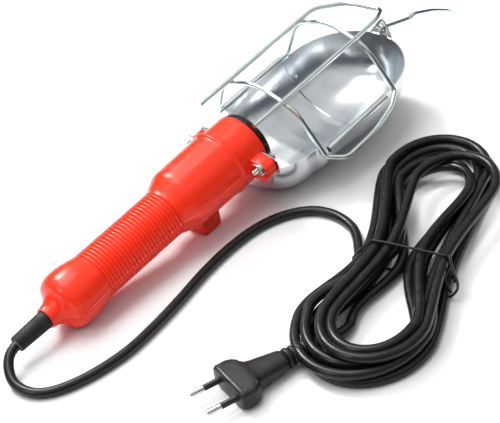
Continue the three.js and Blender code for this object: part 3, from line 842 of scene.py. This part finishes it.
def make_lampholder():
    ring = rounded([
        (-7.9, 14.9, 0.3), (-7.9, 18.9, 0.4), (0.3, 18.9, 0.1), (0.3, 20.3, 0.3),
        (2.2, 20.3, 0.3), (2.6, 19.6, 0.2), (4.6, 19.6, 0.7), (5.4, 18.4, 0.5), (5.4, 14.9, 0.5),
    ], closed=True)
    ring = turned("socket_ring", ring, 96, closed=True)
    finish_piece(ring, "handle", "bakelite", "lampholder_ring")

    stations = np.linspace(THREAD_X0, THREAD_X1, THREAD_ROWS)
    outside = [(x, THREAD_R) for x in stations]
    inside = [(x, THREAD_R - THREAD_WALL) for x in reversed(stations)]
    shell = turned("thread_shell", outside + inside, 72, closed=True, radius=thread_radius)
    finish_piece(shell, "handle", "brass", "screw_shell")


# ---- lug fasteners ----

SHANK_R = 1.6
SCREW_THREAD_X = -12.4
SCREW_THREAD_R, SCREW_ROOT_R = 1.78, 1.5
SCREW_PITCH = 0.55
SCREW_FLANK = 0.27  # from each crest back to the next root
SCREW_TURNS = 14
SLOT_HALF_LENGTH, SLOT_HALF_WIDTH = 4, 0.4
NUT_HALF = 3.6
NUT_REAR_X = -17
NUT_TURN = 0.2  # how far each nut is turned from square, in radians


def lug_screw(name, place):
    """A slotted screw with its head in front of the lug and its thread behind it."""
    profile = [(-1.7, 0), (-1.9, 2.1), (-2.5, 2.9), (-3.3, 3.15), (-3.8, 3.1)]
    profile += [(-3.2, SHANK_R), (-12, SHANK_R)]
    for i in range(SCREW_TURNS):
        x = SCREW_THREAD_X - i * SCREW_PITCH
        profile += [(x, SCREW_THREAD_R), (x - SCREW_FLANK, SCREW_ROOT_R)]
    profile += [(-20.3, SCREW_ROOT_R), (-20.9, 1.1), (-21.2, 0)]
    screw = turned(name, profile[::-1], 40, place)
    long, wide = SLOT_HALF_LENGTH, SLOT_HALF_WIDTH
    outline = [(-long, -wide), (long, -wide), (long, wide), (-long, wide)]
    return combine(screw, prism("slot", outline, -2.6, -1, place), "DIFFERENCE")


def lug_nut(name, place):
    """A square nut behind the lug."""
    outline = [(y * NUT_HALF, z * NUT_HALF) for y, z in ((-1, -1), (1, -1), (1, 1), (-1, 1))]
    return prism(name, outline, NUT_REAR_X, LUG_X0 - 0.25, place, bevel=0.45)


def make_fasteners():
    for side, word in ((1, "left"), (-1, "right")):
        place = LAMP @ Matrix.Translation((0, side * LUG_SCREW_Y, LUG_SCREW_Z))
        screw = lug_screw(f"screw_{word}", place)
        finish_piece(screw, "handle", "nickel", f"lug_screw_{word}")
        nut = lug_nut(f"nut_{word}", place @ Matrix.Rotation(side * NUT_TURN, 4, "X"))
        finish_piece(nut, "handle", "nickel", f"lug_nut_{word}")


# ---- reflector ----

HEM_Z = -8.8
HEM_Y = 45.2
HEM_X0, HEM_X1 = 28.5, 85
SHEET = 0.7
BOWL_X = 92
BOWL_LENGTH = 44.6
BOWL_WIDTH = 43.3
BOWL_DEPTH = 38
LAP_X = 84.5  # the dome's sheet laps over the trough's from here on
LAP_FADE = 30  # the length over which the lap's thickness fades into the dome
DOME_ROWS = 47
DOME_CROWDING = 1.7  # above 1 the rows are closer together towards the tip
DOME_SWEEP = 0.9965  # of a quarter turn; the rest is a tiny hole at the tip
DOME_FULLNESS = 0.45  # below 1 the dome stays deep for longer than it stays wide
SMALLEST = 0.2  # half width or depth of a section's inner face
HEM_OUTER_R, HEM_INNER_R = 2.4, 1.9
END_PLATE_X0, END_PLATE_X1 = -4.9, -4.1
HOOK_TILT = math.radians(21)
HOOK_X, HOOK_Z = 138, -5.5

# Sections of the neck and bowl: x, half width, depth below the hem, squareness.
SECTIONS = [
    (-4.5, 27, 20, 2.3), (-2, 28, 22, 2.4), (1, 29.5, 25, 2.8), (8.5, 34, 28.6, 2.8),
    (16, 37, 30, 2.6), (25.4, 38.2, 30.4, 2.4), (28.2, 43.3, 29.6, 2.2), (42, 43.3, 30, 2),
    (54, 43.3, 32.4, 2), (66, 43.3, 35.8, 2), (80, 43.3, 38, 2), (92, 43.3, 38, 2),
]


def reflector_sections():
    """Finely spaced sections, the creases between the ones above eased by averaging."""
    sections = np.array(SECTIONS)
    stations = np.arange(sections[0, 0], BOWL_X, 0.8)
    columns = [np.interp(stations, sections[:, 0], sections[:, k]) for k in range(1, 4)]
    ease = np.hanning(7)[1:-1]
    eased = [
        np.convolve(np.pad(c, 2, mode="edge"), ease / ease.sum(), mode="valid") for c in columns
    ]
    rows = [tuple(map(float, row)) for row in zip(stations, *eased)]
    for i in range(DOME_ROWS):
        share = 1 - (1 - i / (DOME_ROWS - 1)) ** DOME_CROWDING
        angle = math.pi / 2 * share * DOME_SWEEP
        rows.append((
            BOWL_X + BOWL_LENGTH * math.sin(angle),
            BOWL_WIDTH * math.cos(angle),
            BOWL_DEPTH * math.cos(angle) ** DOME_FULLNESS,
            2,
        ))
    return rows


def section_point(x, width, depth, power, angle):
    """A point of a section, from the left hem at angle 0 to the right one at pi."""
    def shrink(value):
        return math.copysign(abs(value) ** (2 / power), value)

    return x, width * shrink(math.cos(angle)), HEM_Z - depth * shrink(math.sin(angle))


def lap_height(x):
    """How far the inner face stands in where the dome's sheet lies on the trough's."""
    return SHEET * max(0.0, 1 - (x - LAP_X) / LAP_FADE) if x > LAP_X else 0


def reflector_sheet():
    rows = reflector_sections()
    columns = 81
    points = []
    for inset in (0, SHEET):
        for x, width, depth, power in rows:
            over = max(0.0, x - BOWL_X) / BOWL_LENGTH
            thick = inset + lap_height(x) if inset else 0
            shrunk = [max(SMALLEST, size - thick) for size in (width, depth)]
            for j in range(columns):
                angle = math.pi * j / (columns - 1)
                points.append(section_point(x - inset * over, *shrunk, power, angle))
    return add_mesh("reflector_sheet", points, sheet_faces(len(rows), columns), sharp=40)


def hem(side):
    """The rolled edge: a tube left open by a slot along its inner side."""
    start, end = math.pi + 0.2, -2.25
    steps = 40
    stations = (HEM_X0, HEM_X0 + 0.01, HEM_X1 - 0.01, HEM_X1)
    points = []
    for radius in (HEM_OUTER_R, HEM_INNER_R):
        for x in stations:
            for j in range(steps + 1):
                angle = start + (end - start) * j / steps
                y = side * (HEM_Y + radius * math.cos(angle))
                points.append((x, y, HEM_Z + radius * math.sin(angle)))
    return add_mesh("hem", points, sheet_faces(len(stations), steps + 1), sharp=40)


def end_plate():
    """The plate round the collar that closes the neck and carries the screw tabs."""
    opening = COLLAR_R + 0.35
    top = LUG_TOP - 0.3
    outer = LUG_OUTER + 1.4
    lift = math.asin(top / opening)
    tab = rounded([
        (opening * math.cos(lift), top, 0),
        (28.5, top, 1.5),
        (outer, 2.4, 1.5),
        (outer, -7, 0),
    ], steps=6)
    under = [
        section_point(0, 26.9, 19.9, 2.3, angle)[1:]
        for angle in np.linspace(0, math.pi, 41)
    ]
    mirrored = [(-p[0], p[1]) for p in reversed(tab)]
    collar = [
        (opening * math.cos(a), opening * math.sin(a))
        for a in np.linspace(-math.pi - lift, lift, 61)[1:-1]
    ]
    outline = [tuple(p) for p in tab] + under + mirrored + collar
    return prism("end_plate", outline, END_PLATE_X0, END_PLATE_X1)


AT_TAB = LAMP @ Matrix.Translation((HOOK_X, 0, HOOK_Z)) @ Matrix.Rotation(HOOK_TILT, 4, "Y")


def hook_tab():
    """The upright tab at the bowl's tip that the hook's shank turns in."""
    outline = rounded([
        (-9.5, -7, 0), (9.5, -7, 0), (9, -3.4, 1.5), (1.6, 6.6, 2), (-1.6, 6.6, 2), (-9, -3.4, 1.5),
    ], closed=True)
    return prism("hook_tab", outline, 0, SHEET, AT_TAB, bevel=0.15)


def tongue():
    """The small tongue bent up from the edge of the dome's sheet."""
    base = section_point(86.6, 43, 37.4, 2, 0.18 * math.pi)
    lean = Matrix.Rotation(0.5, 4, "Z") @ Matrix.Rotation(0.5, 4, "Y")
    outline = [(-1.6, -1.4), (1.6, -1.4), (1.4, 5.6), (0, 7.4), (-1.4, 5.6)]
    return prism("tongue", outline, 0, SHEET, LAMP @ Matrix.Translation(base) @ lean, bevel=0.1)


def make_reflector():
    parts = [reflector_sheet(), hem(1), hem(-1), end_plate(), hook_tab(), tongue()]
    body = join("reflector_body", parts)
    smooth(body.data, 40)
    finish_piece(body, "handle", "zinc_sheet", "reflector")


# ---- guard ----

WIRE_R = 1.5
HOOP_NEAR_X, HOOP_FAR_X = 22.4, 92.5

FRAME_CORNERS = [
    (HOOP_NEAR_X, HEM_Y, HEM_Z, 2.5), (HOOP_NEAR_X, 30.5, 21.5, 9), (HOOP_NEAR_X, 0, 32, 13),
    (HOOP_NEAR_X, -30.5, 21.5, 9), (HOOP_NEAR_X, -48, HEM_Z, 2.5), (31, -57, -12.6, 5),
    (58, -56.8, -12.6, 8), (81, -52.6, -11, 5), (HOOP_FAR_X, -47, HEM_Z, 2.5),
    (HOOP_FAR_X, -29, 21.5, 9), (HOOP_FAR_X, 0, 31.3, 13), (HOOP_FAR_X, 29, 21.5, 9),
    (HOOP_FAR_X, HEM_Y, HEM_Z, 2.5),
]
LONG_CORNERS = [
    (-6, 22.2, 27.9, 0), (103, 21.6, 27.9, 6), (123, 9, 23, 7), (125.5, -17, 23.5, 5),
    (112, -24.5, 27.3, 5), (-6, -24, 27.9, 0),
]


def weld(at):
    """A small bead of metal where two wires touch."""
    profile = [(1.9 * math.cos(a), 1.25 * math.sin(a)) for a in np.linspace(math.pi, 0, 13)]
    profile[0], profile[-1] = (-1.9, 0), (1.9, 0)
    return turned("weld", profile, 20, LAMP @ Matrix.Translation(at))


def make_guard():
    loop = rod("guard_frame", rounded(FRAME_CORNERS, closed=True, steps=8), WIRE_R, closed=True)
    finish_piece(loop, "guard", "zinc_wire", "guard_frame_wire")
    long_wire = rod("guard_wire", rounded(LONG_CORNERS, steps=8), WIRE_R)
    finish_piece(long_wire, "guard", "zinc_wire", "guard_long_wire")
    places = [(x, y, 26) for x in (HOOP_NEAR_X, HOOP_FAR_X) for y in (22, -24)]
    welds = join("guard_welds", [weld(at) for at in places])
    finish_piece(welds, "guard", "zinc_wire")


# ---- hook ----

HOOK_WIRE_R = 1.75
SHANK_START, SHANK_END = -2.4, 29.5  # along the shank, from the tab


def shank_point(distance):
    """The point of the hook's straight shank that far beyond the tab."""
    return HOOK_X + distance * math.cos(HOOK_TILT), 0, HOOK_Z - distance * math.sin(HOOK_TILT)


def make_hook():
    corners = [
        (*shank_point(SHANK_START), 0), (*shank_point(SHANK_END), 3), (170, 0, -15.4, 3),
        (189, 0, -25, 7), (206, 0, -36.8, 7), (216.8, 0, -49, 0),
    ]
    wire = as_mesh(rod("hook_wire", rounded(corners, steps=8), HOOK_WIRE_R))
    head = turned("hook_head", [
        (-2.3, 0), (-2.2, 1.2), (-1.9, 1.7), (-2.3, 2.1),
        (-2.1, 2.8), (-1.5, 3.2), (-0.35, 3.2), (-0.35, 0),
    ], 40, AT_TAB)
    collar = turned("hook_collar", [
        (1.3, 0), (1.3, 2.6), (1.6, 2.8), (2.2, 2.8), (2.5, 2.5), (2.5, 0),
    ], 40, AT_TAB)
    hook = join("hanging_hook", [wire, head, collar])
    smooth(hook.data, 40)
    finish_piece(hook, "hook", "zinc_wire", "hook")


# ---- plug and tie ----

# Sections of the plug: x from the front face, half width, half height, squareness.
PLUG_SECTIONS = [
    (0, 14.6, 5.2, 5), (-0.25, 15.6, 5.9, 5), (-1, 16.3, 6.5, 5), (-2, 16.5, 6.7, 5.5),
    (-8.5, 16.5, 6.7, 5.5), (-11, 15.6, 6.7, 5), (-13.2, 13.8, 6.6, 4.6), (-14.4, 11.4, 6.35, 4),
    (-16, 10, 6.1, 3.4), (-19, 9.3, 5.9, 3), (-24, 8.6, 5.7, 2.8), (-30, 7.7, 5.5, 2.5),
    (-35, 6.9, 5.3, 2.3), (-36, 6.2, 5, 2.2),
]
PANEL_X0, PANEL_X1 = -12.4, -2.6  # a shallow panel in the upper face
PANEL_HALF_WIDTH = 12.6  # at its rear
PANEL_SPREAD = 0.8  # how much wider each half is at its front
PANEL_DEPTH = 0.35
PIN_Y = 9.3
PIN_TIP_X, PIN_TIP_R = 19.2, 1.2
BOOT_RIBS = 4
BOOT_RIB_X, BOOT_RIB_PITCH = -37.6, 3.7
BOOT_RIB_R, BOOT_RIB_TAPER = 6, 0.32


def in_panel(x, y, up):
    """Whether a point of the plug's shell is in the panel; up is 1 on the upper face."""
    along = (x - PANEL_X0) / (PANEL_X1 - PANEL_X0)
    return up > 0.9 and 0 < along < 1 and abs(y) < PANEL_HALF_WIDTH + PANEL_SPREAD * along


def plug_shell():
    """The moulded body, from its front face to the start of the boot."""
    sections = np.array(PLUG_SECTIONS)
    stations = -np.concatenate([np.linspace(0, 2, 9), np.linspace(2.4, 36, 70)])
    columns = 96
    points = []
    for x in stations:
        width, height, power = (
            float(np.interp(-x, -sections[:, 0], sections[:, k])) for k in range(1, 4)
        )
        for j in range(columns):
            angle = math.tau * j / columns
            across, up = (
                math.copysign(abs(v) ** (2 / power), v) for v in (math.cos(angle), math.sin(angle))
            )
            y, z = width * across, height * up
            points.append((x, y, z - PANEL_DEPTH if in_panel(x, y, up) else z))
    faces = grid(len(stations), columns, wrap=True)
    faces.append(tuple(range(columns)))
    faces.append(tuple(range((len(stations) - 1) * columns, len(stations) * columns)))
    return add_mesh("plug_shell", points, faces, PLUG, sharp=28)


def plug_boot():
    """The ribbed sleeve behind the body, its ribs smaller towards the cord."""
    profile = [(-36, 0), (-36, 5.2)]
    for i in range(BOOT_RIBS):
        x = BOOT_RIB_X - i * BOOT_RIB_PITCH
        size = BOOT_RIB_R - i * BOOT_RIB_TAPER
        profile += [
            (x + 0.9, size - 1.3), (x + 0.5, size - 0.2), (x, size),
            (x - 1.3, size), (x - 1.8, size - 0.25), (x - 2.1, size - 1.35),
        ]
    profile += [(-51.6, 4.1), (-52, 3.8), (-52, 0)]
    return turned("plug_ribs", profile, 56, PLUG)


def plug_pin(side, word):
    """One pin: its black cover at the root and the bare metal with a round tip."""
    place = PLUG @ Matrix.Translation((0, side * PIN_Y, 0))
    profile = [(-4.7, 0), (-4.7, 1.9), (9.6, 1.9), (10, 1.7), (10, 0)]
    cover = turned(f"pin_cover_{word}", profile, 40, place)
    finish_piece(cover, "handle", "black_plastic", f"plug_pin_sleeve_{word}")
    profile = [(10.3, 0), (10.3, 2)]
    for angle in np.linspace(0, math.pi / 2, 9):
        x = PIN_TIP_X - PIN_TIP_R * (1 - math.sin(angle))
        profile.append((x, 0.8 + PIN_TIP_R * math.cos(angle)))
    metal = turned(f"pin_{word}", profile + [(PIN_TIP_X, 0)], 48, place)
    finish_piece(metal, "handle", "nickel", f"plug_pin_{word}")
    return [cover, metal]


def make_plug():
    shell = finish_piece(plug_shell(), "handle", "black_plastic", "plug_body")
    boot = finish_piece(plug_boot(), "handle", "black_plastic", "plug_boot")
    return [shell, boot, *plug_pin(1, "left"), *plug_pin(-1, "right")]


TIE_R = 0.75
TIE_X = -5  # where it lies along the hank
TIE_LEAN = 0.05  # how much further along for each millimetre across
TIED_ALONG, TIED_ACROSS = 2.2, 40  # how near the tie's middle a cord's point counts
TWIST_R = 0.8
TWIST_TURNS = 2


def hull(points):
    """The outline of the smallest convex shape round points in a plane."""
    points = sorted(points)
    sides = []
    for run in (points, points[::-1]):
        side = []
        for p in run:
            while len(side) > 1 and (
                (side[-1][0] - side[-2][0]) * (p[1] - side[-2][1])
                <= (side[-1][1] - side[-2][1]) * (p[0] - side[-2][0])
            ):
                side.pop()
            side.append(p)
        sides += side[:-1]
    return sides


def points_round_waist():
    """Points at the tie's distance round each strand at the waist, as (y, z)."""
    to_hank = HANK.inverted()
    reach = CORD_R + TIE_R
    around = []
    for point in cord_path:
        at = to_hank @ (Vector(point) * MM) / MM
        if abs(at.x - TIE_X) < TIED_ALONG and abs(at.y) < TIED_ACROSS:
            for angle in np.linspace(0, math.tau, 24):
                z = at.z + reach * math.sin(angle)
                around.append((at.y + reach * math.cos(angle), max(TIE_R, z)))
    return around


def loose_end(knot, phase, side_bow, back_bow, fall):
    """One end of the tie: twisted with the other, then bowed out and down by a share."""
    path = []
    for t in np.linspace(0, 1, 19):
        turn = phase + t * TWIST_TURNS * math.tau
        twist = Vector((TWIST_R * math.cos(turn), 0, TWIST_R * math.sin(turn)))
        path.append(knot + twist + Vector((-5 * t, -2.5 * t, -4 * t * t)))
    tip = path[-1]
    for t in np.linspace(0, 1, 15)[1:]:
        bow = math.sin(math.pi * t * 1.1)
        drop = (TIE_R - tip.z) * t * fall
        path.append(tip + Vector((-11 * t + back_bow * bow, side_bow * bow - 1.5 * t, drop)))
    return path


def make_tie():
    """A tight loop round the strands at the waist, its ends twisted and left loose."""
    around = points_round_waist()
    band = [(TIE_X + TIE_LEAN * y, y, z) for y, z in hull(around)]
    right = min(around)[0]
    top = max(z for y, z in around if y < right + 8)
    knot = Vector((TIE_X + TIE_LEAN * right, right + 2.5, top + 0.2))
    ends = [loose_end(knot, 0, 3.5, 0, 0.7), loose_end(knot, math.pi, -5, -2, 1)]
    place = HANK @ Matrix.Scale(MM, 4)
    wires = [rod("band", band, TIE_R, place, closed=True, sides=4)]
    wires += [rod("end", path, TIE_R, place, sides=4) for path in ends]
    tie = join("wire_tie", [as_mesh(wire) for wire in wires])
    return finish_piece(tie, "handle", "black_plastic", "hank_tie")


# ---- stage ----

FLOOR_HALF = 6  # metres

# How high a direction points, 0 level and 1 straight up, and the light from there.
SKY = [
    (0.1, (0.045, 0.052, 0.062, 1)),
    (0.44, (0.12, 0.14, 0.17, 1)),
    (0.66, (0.8, 0.8, 0.79, 1)),
]


def make_floor():
    mesh = bpy.data.meshes.new("floor")
    signs = ((-1, -1), (1, -1), (1, 1), (-1, 1))
    mesh.from_pydata([(x * FLOOR_HALF, y * FLOOR_HALF, 0) for x, y in signs], [], [(0, 1, 2, 3)])
    floor = added("floor", mesh)
    look = Look("paper", (0.83, 0.83, 0.835), 0.9)
    look.rough(look.noise(30, 3), 0.04)
    mesh.materials.append(look.material)


def softbox(name, place, aim, size, energy, colour=(1, 1, 1)):
    """A rectangular light; place, aim and size are in metres, energy in watts."""
    data = bpy.data.lights.new(name, "AREA")
    data.shape = "RECTANGLE"
    data.size, data.size_y = size
    data.energy = energy
    data.color = colour
    light = added(name, data)
    light.location = place
    light.rotation_euler = (Vector(place) - Vector(aim)).to_track_quat("Z", "Y").to_euler()


def make_sky():
    """Dark low down, as in a studio with black screens, and bright overhead."""
    world = bpy.data.worlds.new("studio")
    world.use_nodes = True
    tree = world.node_tree
    direction = tree.nodes.new("ShaderNodeTexCoord").outputs["Generated"]
    split = tree.nodes.new("ShaderNodeSeparateXYZ")
    ramp = tree.nodes.new("ShaderNodeValToRGB")
    stops = ramp.color_ramp.elements
    stops[0].position, stops[0].color = SKY[0]
    stops[1].position, stops[1].color = SKY[-1]
    for position, colour in SKY[1:-1]:
        stops.new(position).color = colour
    tree.links.new(direction, split.inputs["Vector"])
    tree.links.new(split.outputs["Z"], ramp.inputs["Fac"])
    tree.links.new(ramp.outputs["Color"], tree.nodes["Background"].inputs["Color"])
    bpy.context.scene.world = world


def make_studio():
    softbox("key", (0.08, 1.05, 1.2), (0, 0, 0), (0.45, 0.4), 24)
    softbox("overhead", (-0.1, 0.35, 1.5), (0, 0, 0), (1.2, 0.9), 16)
    softbox("left_window", (-1.3, 0.2, 0.9), (0, 0, 0.02), (0.5, 0.7), 5, (0.96, 0.98, 1))
    make_sky()
    bpy.context.scene.view_settings.view_transform = "Standard"


# ---- assembly ----

make_camera()
power_cord, cord_path = make_cord()
finish_piece(power_cord, "handle", "cord_rubber", "cord", "cord_hank")
on_cord = [*make_plug(), make_tie()]
make_handle()
make_sleeve()
make_lampholder()
make_fasteners()
make_reflector()
make_guard()
make_hook()
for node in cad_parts.values():
    if not node.hide_render:
        kind = node.data.materials[0].name.split(".")[0]
        node.data.materials[0] = MATERIALS[kind]
make_floor()
make_studio()
